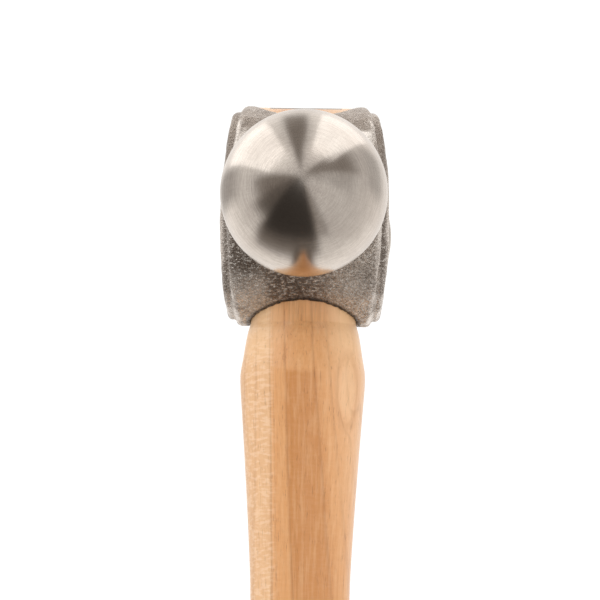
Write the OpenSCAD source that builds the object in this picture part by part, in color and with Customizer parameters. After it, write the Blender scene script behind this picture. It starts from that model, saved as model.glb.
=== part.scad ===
// Ball peen hammer on a hickory handle.
// The handle stands up along +Z, the ball points to -Y and the striking face to +Y.
// The origin is the middle of the flat butt end.

/* [Overall] */
// Butt end to the top of the head
overall_length = 407.5; // [340:0.5:430]
// Tip of the ball to the striking face
head_length = 127; // [122:1:134]
// Handle axis to the centre of the ball
ball_reach = 41.5; // [38:0.5:48]

/* [Ball] */
// Diameter of the ball
ball_d = 34; // [28:0.5:38]
// Thinnest diameter between the ball and the eye section
ball_neck_d = 24; // [18:0.5:26]

/* [Poll and striking face] */
// Thinnest diameter between the eye section and the face
poll_neck_d = 29; // [24:0.5:30]
// Diameter of the round poll
face_d = 38.1; // [36:0.1:42]
// Length of the round poll with its bevels
poll_length = 33.5; // [26:0.5:34.5]
// Bevel around the striking face
face_bevel = 1.8; // [0.5:0.1:3]

/* [Eye section] */
// Length of the crowned part of the eye section along the head
block_length = 37; // [35:0.5:40]
// Width of the eye section under the pads
block_width = 32.5; // [30:0.1:34]
// Height of the eye section at its middle
block_height = 46.8; // [44:0.2:50]
// Radius of its crowned top and bottom, seen from the side
crown_r = 30.5; // [28:0.5:40]
// Radius of the hollow between the ball neck and the eye section
ball_root_r = 14; // [10:0.5:16]
// Radius of the hollow between the poll neck and the eye section
poll_root_r = 9.5; // [8:0.5:11]
// Radius of the bulging sides, seen end on
side_bulge_r = 104; // [90:1:140]
// How far below the axis of the head the sides are widest
side_bulge_drop = 2.2; // [0:0.1:3]
// Raised cheek pads: width across both
pad_span = 35.8; // [35:0.1:38]
// Raised cheek pads: length along the head
pad_length = 30; // [24:0.5:33]
// Raised cheek pads: height at the middle
pad_height = 44.2; // [40:0.2:45]

/* [Eye] */
// Width of the eye at its waist
eye_width = 20.4; // [18:0.1:21.5]
// Length of the eye at its waist
eye_length = 28.2; // [26:0.1:29.5]
// How much wider the eye is at the top
eye_top_flare = 1; // [0.4:0.1:1.4]
// How much wider the eye is at the bottom
eye_bottom_flare = 2; // [1:0.1:2.6]

/* [Handle] */
// Width of the shoulder under the head
shoulder_width = 26.3; // [25:0.1:30]
// Depth of the shoulder, along the head
shoulder_depth = 36; // [33:0.5:40]
// Width at the waist
waist_width = 20.2; // [18:0.1:23]
// Depth at the waist
waist_depth = 27; // [25:0.5:30]
// Width of the grip
grip_width = 27.6; // [24:0.1:32]
// Depth of the grip
grip_depth = 37; // [34:0.5:42]
// Rounding of the butt end
butt_round = 3; // [1.5:0.1:5]

/* [Wedges] */
// Thickness of the wooden wedge at the top
wood_wedge_thickness = 3.4; // [2:0.1:4.5]
// Depth of the wooden wedge
wood_wedge_depth = 30; // [27:0.5:34]
// Thickness of the steel wedges at the top
steel_wedge_thickness = 2.6; // [1.6:0.1:3.2]
// Width of the steel wedges
steel_wedge_width = 15; // [10:0.5:16]
// Depth of the steel wedges
steel_wedge_depth = 19; // [14:0.5:22]
// Handle axis to each steel wedge
steel_wedge_offset = 6.6; // [5:0.1:8]

/* [Hidden] */
$fn = 96;

steel = [0.45, 0.43, 0.41];
hickory = [0.86, 0.66, 0.44];
wedge_wood = [0.74, 0.55, 0.36];
wedge_steel = [0.56, 0.55, 0.53];

fit = 0.05;
over = 1;

function between(a, b, share) = a + (b - a) * share;
// How far a hollow of radius r runs along a neck while it rises by the given height
function root_run(r, rise) = sqrt(pow(r, 2) - pow(r - rise, 2));

head_z = overall_length - block_height / 2;
ball_r = ball_d / 2;
ball_neck_r = ball_neck_d / 2;
poll_neck_r = poll_neck_d / 2;
face_r = face_d / 2;
face_y = head_length - ball_reach - ball_r;
block_l2 = block_length / 2;
block_w2 = block_width / 2;
block_h2 = block_height / 2;

// Half height where the crowned part ends, and where the hollow roots leave the necks
end_h = sqrt(pow(crown_r, 2) - pow(block_l2, 2)) - crown_r + block_h2;
ball_root_y = block_l2 + root_run(ball_root_r, end_h - ball_neck_r);
poll_root_y = block_l2 + root_run(poll_root_r, end_h - poll_neck_r);
pad_draft = 2.6;
poll_back_bevel = 1.2;
poll_back_land = 0.6;
poll_back_round = face_r - poll_back_bevel - poll_back_land - poll_neck_r;

// Half width of the eye at its waist, top and bottom; the two ends are this round
eye_r = eye_width / 2;
eye_top_r = eye_r + eye_top_flare / 2;
eye_bottom_r = eye_r + eye_bottom_flare / 2;
eye_half_straight = (eye_length - eye_width) / 2;

tenon_top_drop = 0.3;
tenon_top_z = overall_length - tenon_top_drop;
lug_z = overall_length - block_height;
crown_z = head_z + block_h2 - crown_r;
steel_outer = steel_wedge_offset + steel_wedge_thickness / 2;
steel_top_z = crown_z + sqrt(pow(crown_r - tenon_top_drop, 2) - pow(steel_outer, 2));

// Handle stations from butt to head: height, half width, half length of the flat side
grip_r = grip_width / 2;
waist_r = waist_width / 2;
shoulder_r = shoulder_width / 2;
grip_flat = (grip_depth - grip_width) / 2;
waist_flat = (waist_depth - waist_width) / 2;
shoulder_flat = (shoulder_depth - shoulder_width) / 2;
shoulder_z = lug_z - 12.5;
waist_z = shoulder_z * 0.76;
butt_z = shoulder_z * 0.06;

stations = [
  [butt_round, grip_r - 0.5, grip_flat],
  [butt_z, grip_r, grip_flat],
  [between(butt_z, waist_z, 0.25), between(grip_r, waist_r, 0.13), between(grip_flat, waist_flat, 0.12)],
  [between(butt_z, waist_z, 0.5), between(grip_r, waist_r, 0.5), between(grip_flat, waist_flat, 0.5)],
  [between(butt_z, waist_z, 0.75), between(grip_r, waist_r, 0.86), between(grip_flat, waist_flat, 0.86)],
  [waist_z, waist_r, waist_flat],
  [shoulder_z - 44, between(waist_r, shoulder_r, 0.12), between(waist_flat, shoulder_flat, 0.14)],
  [shoulder_z - 33, between(waist_r, shoulder_r, 0.28), between(waist_flat, shoulder_flat, 0.32)],
  [shoulder_z - 18, between(waist_r, shoulder_r, 0.59), between(waist_flat, shoulder_flat, 0.64)],
  [shoulder_z - 6, between(waist_r, shoulder_r, 0.87), between(waist_flat, shoulder_flat, 0.9)],
  [shoulder_z - 1.6, between(waist_r, shoulder_r, 0.98), shoulder_flat],
  [shoulder_z + 1.8, shoulder_r, shoulder_flat],
  [shoulder_z + 5, shoulder_r - 0.5, shoulder_flat - 0.2],
  [lug_z - 2.1, eye_bottom_r + 0.55, eye_half_straight + 0.35],
  [lug_z - 0.4, eye_bottom_r + 0.05, eye_half_straight],
];
last_station = len(stations) - 1;
steps_between = 4;
arc_steps = 18;

function slope(i, k) =
  i == 0 ? 0 :
  i == last_station ? (stations[i][k] - stations[i - 1][k]) / (stations[i][0] - stations[i - 1][0]) :
  (stations[i + 1][k] - stations[i - 1][k]) / (stations[i + 1][0] - stations[i - 1][0]);

// Smooth curve through the stations
function curve(i, s, k) =
  let (h = stations[i + 1][0] - stations[i][0])
  (2 * pow(s, 3) - 3 * pow(s, 2) + 1) * stations[i][k]
  + (pow(s, 3) - 2 * pow(s, 2) + s) * h * slope(i, k)
  + (3 * pow(s, 2) - 2 * pow(s, 3)) * stations[i + 1][k]
  + (pow(s, 3) - pow(s, 2)) * h * slope(i + 1, k);

butt_steps = 5;
handle_rings = [
  for (i = [0:butt_steps - 1])
    let (a = 90 * i / butt_steps, inset = butt_round * (1 - sin(a)))
    [butt_round * (1 - cos(a)), stations[0][1] - inset, grip_flat],
  for (i = [0:last_station - 1])
    for (j = [0:steps_between - 1])
      let (s = j / steps_between)
      [between(stations[i][0], stations[i + 1][0], s), curve(i, s, 1), curve(i, s, 2)],
  stations[last_station],
  [lug_z, eye_bottom_r - fit, eye_half_straight],
  [head_z, eye_r - fit, eye_half_straight],
  [tenon_top_z, eye_top_r - fit, eye_half_straight],
];
ring_points = 2 * (arc_steps + 1);

// One outline of the handle: two half circles joined by flat sides
function outline(ring) = [
  for (j = [0:ring_points - 1])
    let (front = j > arc_steps, a = front ? 180 * (j - 1) / arc_steps : 180 * j / arc_steps)
    [ring[1] * cos(a), ring[1] * sin(a) + (front ? -ring[2] : ring[2]), ring[0]]
];

module handle_body() {
  rings = len(handle_rings);
  points = [for (ring = handle_rings) each outline(ring)];
  bottom = [for (j = [0:ring_points - 1]) j];
  top = [for (j = [ring_points - 1:-1:0]) (rings - 1) * ring_points + j];
  sides = [
    for (i = [0:rings - 2])
      for (j = [0:ring_points - 1])
        let (a = i * ring_points, b = a + ring_points, next = (j + 1) % ring_points)
        [a + j, b + j, b + next, a + next]
  ];
  polyhedron(points, concat([bottom], [top], sides));
}

// Turns a profile of radius and distance about the axis of the head
module turned() {
  translate([0, 0, head_z])
    rotate([-90, 0, 0])
      rotate_extrude($fn = 128)
        children();
}

// Extrudes an outline of X and height along the head
module along_head(length) {
  translate([0, 0, head_z])
    rotate([90, 0, 0])
      linear_extrude(length, center = true)
        children();
}

// Extrudes an outline of Y and height across the head
module across_head(width) {
  translate([0, 0, head_z])
    rotate([90, 0, 90])
      linear_extrude(width, center = true)
        children();
}

// Outline with bulging sides
module cheeks(half_width) {
  intersection() {
    translate([half_width - side_bulge_r, -side_bulge_drop])
      circle(side_bulge_r, $fn = 360);
    translate([side_bulge_r - half_width, -side_bulge_drop])
      circle(side_bulge_r, $fn = 360);
  }
}

// Side view of a crowned top and bottom
module crown(half_height, r) {
  intersection() {
    translate([0, half_height - r])
      circle(r, $fn = 180);
    translate([0, r - half_height])
      circle(r, $fn = 180);
  }
}

// The eye section, with the hollow roots of both necks
module eye_section() {
  length = ball_root_y + poll_root_y;
  intersection() {
    turned()
      difference() {
        translate([0, -ball_root_y])
          square([block_height, length]);
        translate([ball_neck_r + ball_root_r, -ball_root_y])
          circle(ball_root_r);
        translate([poll_neck_r + poll_root_r, poll_root_y])
          circle(poll_root_r);
        translate([ball_neck_r + ball_root_r, -ball_root_y])
          square([block_height, ball_root_r]);
        translate([poll_neck_r + poll_root_r, poll_root_y - poll_root_r])
          square([block_height, poll_root_r]);
      }
    along_head(2 * length)
      cheeks(block_w2);
    across_head(2 * block_width)
      union() {
        intersection() {
          crown(block_h2, crown_r);
          square([block_length, 2 * block_height], center = true);
        }
        square([2 * length, 2 * end_h], center = true);
      }
  }
}

// Raised pads on both cheeks, with sloping ends
module pads() {
  outer_x = pad_span / 2 + over;
  outer_y = pad_length / 2 - pad_draft - over;
  inner_x = pad_span / 2 - pad_draft;
  inner_y = pad_length / 2;
  intersection() {
    along_head(block_length)
      cheeks(pad_span / 2);
    across_head(2 * pad_span)
      crown(pad_height / 2, crown_r - (block_height - pad_height) / 2);
    translate([0, 0, lug_z - over])
      linear_extrude(block_height + 2 * over)
        polygon([
          [-outer_x, -outer_y], [-inner_x, -inner_y], [inner_x, -inner_y], [outer_x, -outer_y],
          [outer_x, outer_y], [inner_x, inner_y], [-inner_x, inner_y], [-outer_x, outer_y],
        ]);
  }
}

module ball_end() {
  translate([0, -ball_reach, head_z])
    sphere(ball_r, $fn = 128);
  turned()
    translate([0, -ball_reach])
      square([ball_neck_r, ball_reach]);
}

module poll() {
  poll_y = face_y - poll_length;
  turned()
    difference() {
      polygon([
        [0, 0], [poll_neck_r, 0], [poll_neck_r, poll_y - poll_back_round],
        [poll_neck_r + poll_back_round, poll_y - poll_back_round],
        [poll_neck_r + poll_back_round, poll_y], [face_r - poll_back_bevel, poll_y],
        [face_r, poll_y + poll_back_bevel], [face_r, face_y - face_bevel],
        [face_r - face_bevel, face_y], [0, face_y],
      ]);
      translate([poll_neck_r + poll_back_round, poll_y - poll_back_round])
        circle(poll_back_round);
    }
}

// The space in the eye between two heights; its half width goes from low_r to high_r
module eye_part(low_z, high_z, low_r, high_r) {
  for (side = [-1, 1])
    translate([0, side * eye_half_straight, low_z])
      cylinder(h = high_z - low_z, r1 = low_r, r2 = high_r);
  rotate([90, 0, 0])
    linear_extrude(2 * eye_half_straight, center = true)
      polygon([[-low_r, low_z], [low_r, low_z], [high_r, high_z], [-high_r, high_z]]);
}

// Hourglass eye, drawn smaller by inset all round
module eye(inset, extra) {
  low_slope = (eye_bottom_r - eye_r) / block_h2;
  high_slope = (eye_top_r - eye_r) / block_h2;
  eye_part(lug_z - extra, head_z, eye_bottom_r + extra * low_slope - inset, eye_r - inset);
  eye_part(head_z, overall_length + extra, eye_r - inset, eye_top_r + extra * high_slope - inset);
}

module head() {
  color(steel)
    difference() {
      union() {
        ball_end();
        eye_section();
        pads();
        poll();
      }
      eye(0, over);
    }
}

// Everything below the crowned top of the tenon
module under_crown() {
  across_head(2 * eye_length)
    union() {
      translate([0, block_h2 - crown_r])
        circle(crown_r - tenon_top_drop, $fn = 180);
      translate([-crown_r, -overall_length])
        square([2 * crown_r, overall_length + block_h2 - crown_r]);
    }
}

// Long wedge outline, thick at the top
module wedge_outline(thickness, tip, depth, gap) {
  top = thickness / 2 + gap;
  low = tip / 2 + gap;
  polygon([[-low, -depth - gap], [low, -depth - gap], [top, 0], [top, over], [-top, over], [-top, 0]]);
}

wood_tip = 0.8;
steel_tip = 0.7;
barb = 0.22;
barbs = 4;

module wood_wedge_solid(gap) {
  translate([0, 0, tenon_top_z])
    rotate([90, 0, 0])
      linear_extrude(2 * eye_length, center = true)
        wedge_outline(wood_wedge_thickness, wood_tip, wood_wedge_depth, gap);
}

module steel_wedge_slot(side) {
  translate([0, side * steel_wedge_offset, steel_top_z])
    rotate([90, 0, 90])
      linear_extrude(steel_wedge_width + 2 * fit, center = true)
        wedge_outline(steel_wedge_thickness, steel_tip, steel_wedge_depth, fit);
}

module steel_wedge(side) {
  half = function (d) between(steel_wedge_thickness, steel_tip, d / steel_wedge_depth) / 2;
  step = steel_wedge_depth / (barbs + 1);
  right = [
    [half(0), over],
    for (i = [1:barbs]) each [[half(i * step) - barb, -i * step], [half(i * step), -i * step]],
    [half(steel_wedge_depth), -steel_wedge_depth],
  ];
  left = [for (i = [len(right) - 1:-1:0]) [-right[i][0], right[i][1]]];
  color(wedge_steel)
    intersection() {
      translate([0, side * steel_wedge_offset, steel_top_z])
        rotate([90, 0, 90])
          linear_extrude(steel_wedge_width, center = true)
            polygon(concat(right, left));
      under_crown();
    }
}

module handle() {
  color(hickory)
    difference() {
      intersection() {
        handle_body();
        under_crown();
      }
      wood_wedge_solid(fit);
      steel_wedge_slot(-1);
      steel_wedge_slot(1);
    }
}

module wood_wedge() {
  color(wedge_wood)
    difference() {
      intersection() {
        wood_wedge_solid(0);
        eye(fit, 0);
        under_crown();
      }
      steel_wedge_slot(-1);
      steel_wedge_slot(1);
    }
}

module steel_wedge_front() {
  steel_wedge(-1);
}

module steel_wedge_back() {
  steel_wedge(1);
}

head();
handle();
wood_wedge();
steel_wedge_front();
steel_wedge_back();
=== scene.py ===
"""Ball peen hammer: a forged steel head with a turned ball, wedged on a lacquered hickory handle."""

import math

import bmesh
import bpy
import numpy as np
from mathutils import Matrix, Vector


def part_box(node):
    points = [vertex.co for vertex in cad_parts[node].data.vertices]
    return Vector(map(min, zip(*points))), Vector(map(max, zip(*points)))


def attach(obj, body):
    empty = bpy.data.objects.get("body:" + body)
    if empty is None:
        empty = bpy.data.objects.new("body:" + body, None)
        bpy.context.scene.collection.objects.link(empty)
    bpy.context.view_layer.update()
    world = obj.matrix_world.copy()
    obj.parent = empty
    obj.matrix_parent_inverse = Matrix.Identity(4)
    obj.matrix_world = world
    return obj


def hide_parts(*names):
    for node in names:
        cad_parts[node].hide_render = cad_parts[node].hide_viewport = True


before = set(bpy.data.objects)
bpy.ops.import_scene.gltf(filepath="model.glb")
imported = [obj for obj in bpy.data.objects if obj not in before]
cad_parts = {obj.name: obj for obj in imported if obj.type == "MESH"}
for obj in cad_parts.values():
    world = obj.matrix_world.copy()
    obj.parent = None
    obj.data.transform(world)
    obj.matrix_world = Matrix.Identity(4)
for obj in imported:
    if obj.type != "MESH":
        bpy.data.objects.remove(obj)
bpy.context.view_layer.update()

MM = 0.001
HEAD_LOW, HEAD_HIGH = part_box("head")
HEAD_Z = (HEAD_LOW.z + HEAD_HIGH.z) / 2 / MM
TOP_Z = HEAD_HIGH.z / MM
LUG_Z = HEAD_LOW.z / MM
FACE_Y = HEAD_HIGH.y / MM

# Head, in mm about the crossing of its axis and the handle's. The block is the eye section, with bulging
# sides and a crowned top and bottom; the pads are the cheeks on its sides, the root the hollow before it.
BALL_R = 17.0
BALL_Y = HEAD_LOW.y / MM + BALL_R
BALL_NECK_R = 12.0
POLL_NECK_R = 14.5
NECK_START = 20.0
POLL_R = HEAD_HIGH.x / MM
POLL_Y = FACE_Y - 33.5
FACE_BEVEL = 1.8
POLL_BACK_BEVEL = 1.2
POLL_GROOVE_R = 2.75
BLOCK_HALF = (16.25, 18.5, TOP_Z - HEAD_Z)
CROWN_R = 30.5
CROWN_DROP = CROWN_R - BLOCK_HALF[2]
PAD_HALF = (17.9, 15.0)
PAD_INSET = 1.3
PAD_DRAFT = 2.6
PAD_CORNER_R = 6.0
BULGE_R = 104.0
BULGE_DROP = 2.2
ROOT_R = 10.5
ROOT_END = 29.5
END_SLOPE = 12.0
END_R = 16.0
EYE_R, EYE_TOP_R, EYE_LOW_R = 10.2, 10.7, 11.2
EYE_FLAT = 3.9

# Radii of the head's edges, and of the fillets where its parts join
BLOCK_EDGE, SIDE_EDGE, PAD_EDGE, POLL_EDGE, BEVEL_EDGE, EYE_EDGE = 2.0, 1.0, 0.8, 0.4, 0.5, 0.3
PAD_FILLET, NECK_FILLET, BALL_FILLET = 0.35, 0.3, 1.2

# Handle, in mm: heights from the butt, then half width and half length of the flat side at each
SHOULDER_Z = LUG_Z - 12.5
WAIST_Z = SHOULDER_Z * 0.76
BUTT_Z = SHOULDER_Z * 0.06
GRIP, WAIST, SHOULDER = (13.8, 4.7), (10.1, 3.4), (13.15, 4.85)
BUTT_ROUND = 3.0

# Room round the tenon and the wedges, and how far they stop below the crowned top
FIT = 0.05
TENON_DROP = 0.3


def mix(a, b, t):
    """From a at t = 0 to b at t = 1."""
    return a + (b - a) * t


def smoothstep(low, high, v):
    t = np.clip((v - low) / (high - low), 0, 1)
    return t * t * (3 - 2 * t)


# Smooth noise in numpy, the same on every run
def lattice(i, j, k, seed):
    h = (i * 374761393 + j * 668265263 + k * 2147483647 + seed * 144665) & 0xFFFFFFFF
    h = ((h ^ (h >> 13)) * 1274126177) & 0xFFFFFFFF
    return ((h ^ (h >> 16)) & 0xFFFF) / 32767.5 - 1


def noise(p, scale, seed=0):
    """Between -1 and 1, with bumps about a scale apart."""
    q = p / scale
    base = np.floor(q).astype(np.int64)
    f = q - base
    w = f * f * f * (f * (f * 6 - 15) + 10)
    total = 0
    for corner in np.ndindex(2, 2, 2):
        weight = np.prod([w[:, a] if corner[a] else 1 - w[:, a] for a in range(3)], axis=0)
        total = total + weight * lattice(*(base[:, a] + corner[a] for a in range(3)), seed)
    return total


# Signed distance helpers: negative inside
def meet(a, b, r):
    """Intersection with a round edge of radius r."""
    return np.minimum(np.maximum(a, b), -r) + np.hypot(np.maximum(a + r, 0), np.maximum(b + r, 0))


def join(a, b, r):
    """Union with a hollow fillet of radius r."""
    return np.maximum(np.minimum(a, b), r) - np.hypot(np.maximum(r - a, 0), np.maximum(r - b, 0))


def side_face(x, z, half_width):
    """The bulging sides, seen end on."""
    return np.hypot(np.abs(x) + BULGE_R - half_width, z + BULGE_DROP) - BULGE_R


def crown(y, z):
    """The rounded top and bottom of the eye section, seen from the side."""
    return np.hypot(y, np.abs(z) + CROWN_DROP) - CROWN_R


def round_box(a, b, half_a, half_b, r):
    """A flat rectangle about the origin, with corners of radius r."""
    qa, qb = np.abs(a) - half_a + r, np.abs(b) - half_b + r
    return np.hypot(np.maximum(qa, 0), np.maximum(qb, 0)) + np.minimum(np.maximum(qa, qb), 0) - r


def waist(radius, y, z, side):
    """The eye section between its sloping ends, running into the two necks with hollow fillets."""
    slope = np.where(y < 0, END_SLOPE, 0.0) * math.pi / 180
    reach = np.abs(y) - BLOCK_HALF[1] + np.tan(slope) * (radius - END_R)
    end = reach * np.cos(slope)
    neck = radius - np.where(y < 0, BALL_NECK_R, POLL_NECK_R)
    body = meet(join(neck, end, ROOT_R), crown(y, z), BLOCK_EDGE)
    return meet(body, np.maximum(side, np.abs(y) - ROOT_END), SIDE_EDGE)


def pad_slope(x, y):
    """The sloping ends of the cheek pads, seen from above."""
    return np.abs(x) + np.abs(y) - PAD_HALF[0] - PAD_HALF[1] + PAD_DRAFT


def eye_wall(x, y, radius):
    """Distance outwards from an eye of that end radius, seen from above."""
    return np.hypot(x, np.maximum(np.abs(y) - EYE_FLAT, 0)) - radius


def head_distance(p):
    """Signed distance of the smooth head, near enough close to its surface."""
    x, y, z = p.T
    radius = np.hypot(x, z)
    body = waist(radius, y, z, side_face(x, z, BLOCK_HALF[0]))
    pad = meet(crown(y, z) + PAD_INSET, np.abs(y) - PAD_HALF[1], PAD_CORNER_R)
    pad = meet(side_face(x, z, PAD_HALF[0]), pad, PAD_EDGE)
    pad = meet(pad, pad_slope(x, y) / math.sqrt(2), PAD_EDGE)
    body = join(body, pad, PAD_FILLET)
    neck = np.maximum(radius - BALL_NECK_R, np.maximum(BALL_Y - y, y + NECK_START))
    ball = np.sqrt(x * x + (y - BALL_Y) ** 2 + z * z) - BALL_R
    body = join(body, neck, NECK_FILLET)
    body = join(body, ball, BALL_FILLET)
    poll_neck = np.maximum(radius - POLL_NECK_R, np.maximum(NECK_START - y, y - POLL_Y - 2))
    body = join(body, poll_neck, NECK_FILLET)
    poll = meet(radius - POLL_R, np.maximum(POLL_Y - y, y - FACE_Y), POLL_EDGE)
    face_bevel = (radius - POLL_R + y - FACE_Y + FACE_BEVEL) / math.sqrt(2)
    back_bevel = (radius - POLL_R - y + POLL_Y + POLL_BACK_BEVEL) / math.sqrt(2)
    poll = meet(meet(poll, face_bevel, BEVEL_EDGE), back_bevel, BEVEL_EDGE)
    body = join(body, poll, POLL_GROOVE_R)
    flare = np.where(z < 0, EYE_LOW_R, EYE_TOP_R)
    eye_r = mix(EYE_R, flare, np.abs(z) / BLOCK_HALF[2])
    return meet(body, -eye_wall(x, y, eye_r), EYE_EDGE)


def gradient(f, p, h):
    """Slope of f at the points, from steps of h to both sides."""
    out = np.empty_like(p)
    for a in range(3):
        d = np.zeros(3)
        d[a] = h
        out[:, a] = f(p + d) - f(p - d)
    return out / (2 * h)


def cell_corner(values, c):
    """The grid's values at one corner of every cell."""
    size = [n - 1 for n in values.shape]
    return values[c[0]:c[0] + size[0], c[1]:c[1] + size[1], c[2]:c[2] + size[2]]


def net_points(field, active):
    """Mean of the places where the surface cuts each active cell's edges, in cells."""
    total, hits = np.zeros((active.sum(), 3)), np.zeros(active.sum())
    for a in np.ndindex(2, 2, 2):
        for axis in range(3):
            if a[axis]:
                continue
            b = tuple(v + (i == axis) for i, v in enumerate(a))
            fa, fb = cell_corner(field, a)[active], cell_corner(field, b)[active]
            cross = (fa < 0) != (fb < 0)
            point = np.tile(np.array(a, float), (cross.sum(), 1))
            point[:, axis] = fa[cross] / (fa[cross] - fb[cross])
            total[cross] += point
            hits[cross] += 1
    return np.argwhere(active) + total / hits[:, None]


def net_quads(inside, index):
    """A quad round each grid edge that the surface cuts, facing out; index numbers the cells."""
    quads = []
    for axis in range(3):
        u, v = (axis + 1) % 3, (axis + 2) % 3
        lo, hi = [slice(1, -1)] * 3, [slice(1, -1)] * 3
        lo[axis], hi[axis] = slice(0, -1), slice(1, None)
        a, b = inside[tuple(lo)], inside[tuple(hi)]
        for edges, order in ((a & ~b, (0, 1, 2, 3)), (~a & b, (3, 2, 1, 0))):
            at = np.argwhere(edges)
            at[:, [u, v]] += 1
            loop = []
            for shift in ((-1, -1), (0, -1), (0, 0), (-1, 0)):
                cell = at.copy()
                cell[:, [u, v]] += shift
                loop.append(index[tuple(cell.T)])
            quads.append(np.stack([loop[i] for i in order], -1))
    return np.concatenate(quads)


def surface_net(f, low, high, step):
    """Quads on the zero level of f: one vertex in each grid cell that the surface crosses."""
    axes = [np.arange(low[a], high[a] + step, step) for a in range(3)]
    grid = np.stack(np.meshgrid(*axes, indexing="ij"), -1)
    parts = np.array_split(grid.reshape(-1, 3), 16)
    field = np.concatenate([f(part) for part in parts]).reshape(grid.shape[:3])
    inside = field < 0
    count = sum(cell_corner(inside, c).astype(np.int8) for c in np.ndindex(2, 2, 2))
    active = (count > 0) & (count < 8)
    index = np.full(active.shape, -1, np.int64)
    index[active] = np.arange(active.sum())
    return np.array(low) + step * net_points(field, active), net_quads(inside, index)


def vertex_normals(points, faces):
    """Normals of a mesh of quads, larger quads counting for more."""
    across = points[faces[:, 2]] - points[faces[:, 0]]
    along = points[faces[:, 3]] - points[faces[:, 1]]
    face = np.cross(across, along)
    out = np.zeros_like(points)
    for k in range(4):
        np.add.at(out, faces[:, k], face)
    return out / np.maximum(np.linalg.norm(out, axis=1, keepdims=True), 1e-12)


def link(obj):
    bpy.context.scene.collection.objects.link(obj)
    return obj


def new_mesh(name, points_mm, faces):
    mesh = bpy.data.meshes.new(name)
    mesh.from_pydata((np.asarray(points_mm) * MM).tolist(), [], [list(map(int, f)) for f in faces])
    mesh.validate()
    mesh.polygons.foreach_set("use_smooth", [True] * len(mesh.polygons))
    return link(bpy.data.objects.new(name, mesh))


def attribute(obj, name, values):
    """A number at each vertex, for the materials to read."""
    layer = obj.data.attributes.new(name, "FLOAT", "POINT")
    layer.data.foreach_set("value", np.asarray(values, np.float32))


# Grid that the head is meshed on, in mm
NET_STEP = 0.5
NET_SIDE = 20.5
NET_MARGIN = 1.5

# Forged skin, in mm: where it starts and ends along the head, its dents' size and depth, and how far
# it lies under the smooth head
FORGED_Y = (-29.2, POLL_Y - 3.0)
DENTS = ((9, 0.14), (3.6, 0.07), (1.7, 0.07), (1.0, 0.06))
SKIN_DROP = 0.06

# Spots ground bright on the ball's side: a patch with round corners and a small dab
PATCH_AT, PATCH_HALF, PATCH_CORNER_R = (10.4, 11.6), (4.0, 4.6), 1.5
DAB_AT, DAB_R = (-13.2, 14.6), 1.2


def head_surface():
    """Points and quads of the smooth head, and its exact normals."""
    low = (-NET_SIDE, BALL_Y - BALL_R - NET_MARGIN, -BLOCK_HALF[2] - NET_MARGIN)
    high = (NET_SIDE, FACE_Y + NET_MARGIN, BLOCK_HALF[2] + NET_MARGIN)
    points, faces = surface_net(head_distance, low, high, NET_STEP)
    for _ in range(3):
        g = gradient(head_distance, points, 0.02)
        size = np.maximum((g * g).sum(1, keepdims=True), 0.25)
        points = points - g * np.clip(head_distance(points), -0.3, 0.3)[:, None] / size
    exact = gradient(head_distance, points, 0.05)
    exact /= np.maximum(np.linalg.norm(exact, axis=1, keepdims=True), 1e-9)
    return points, faces, exact


def ground_spots(p):
    """1 where a spot is ground bright, 0 elsewhere."""
    x, y, z = p.T
    wobble = noise(p, 2.4, 5) * 0.5
    patch = round_box(x - PATCH_AT[0], z - PATCH_AT[1], *PATCH_HALF, PATCH_CORNER_R) + wobble
    dab = np.hypot(x - DAB_AT[0], z - DAB_AT[1]) - DAB_R + 2.5 * wobble
    spots = smoothstep(0.4, -0.3, patch) + 0.6 * smoothstep(0.6, -0.4, dab)
    return np.clip(spots * smoothstep(-14, -17, y), 0, 1)


def skin_marks(smooth, skin, ground):
    """Bright edges, partly wear and partly painted highlight, with painted light from below on the lugs and
    lower sides; and painted shade low behind the ball, on the top and beside the pads. Both are placed on
    the smooth head and broken up by noise on its skin.
    """
    x, y, z = smooth.T
    aside = np.abs(x)
    side = side_face(x, z, BLOCK_HALF[0])
    end = np.abs(y) - BLOCK_HALF[1] + np.where(y < 0, 0.25, 0.0) * (np.hypot(x, z) - END_R)
    # Bright edges at the block's corners and the pads' ends: partly wear, partly painted highlight
    corner = smoothstep(-1.2, -0.6, side) * smoothstep(-1.3, -0.6, end) * smoothstep(0.5, 0.2, side)
    corner = corner * smoothstep(-0.5, 0.4, noise(skin, 6, 7)) * smoothstep(-19, -8, z)
    pad = smoothstep(0.9, 0.2, np.abs(pad_slope(x, y))) * smoothstep(16.6, 17.2, aside)
    pad = 0.5 * pad * smoothstep(-0.3, 0.5, noise(skin, 5, 8))
    # Painted light from below: the undersides of the lugs made bright
    lug_bottom_light = smoothstep(-16.5, -18.5, z) * smoothstep(11, 12.5, aside)
    lug_bottom_light = lug_bottom_light * smoothstep(0.5, -0.3, noise(skin, 3, 9))
    # Painted light from below on the lower sides, kept out of the painted shade
    low_side_light = smoothstep(-12, -18, z) * smoothstep(6, 10, aside)
    # Painted shade: darker low behind the ball, more so on the left
    low = smoothstep(3, -7, z) * smoothstep(-13, -17, y) * (1 - smoothstep(-2, 8, x))
    low = low * (1 - low_side_light) * (1 - lug_bottom_light)
    # Painted shade: the top darkened
    top = 0.4 * smoothstep(6, 10, z) * (1 - ground)
    # Painted shade in the step between the block's sides and the pads
    hollow = 0.8 * smoothstep(17.6, 17.0, aside) * smoothstep(15.8, 16.2, aside)
    edge = np.maximum.reduce([corner, pad, lug_bottom_light, 0.3 * low_side_light])
    return edge, np.maximum.reduce([low, top, hollow])


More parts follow.
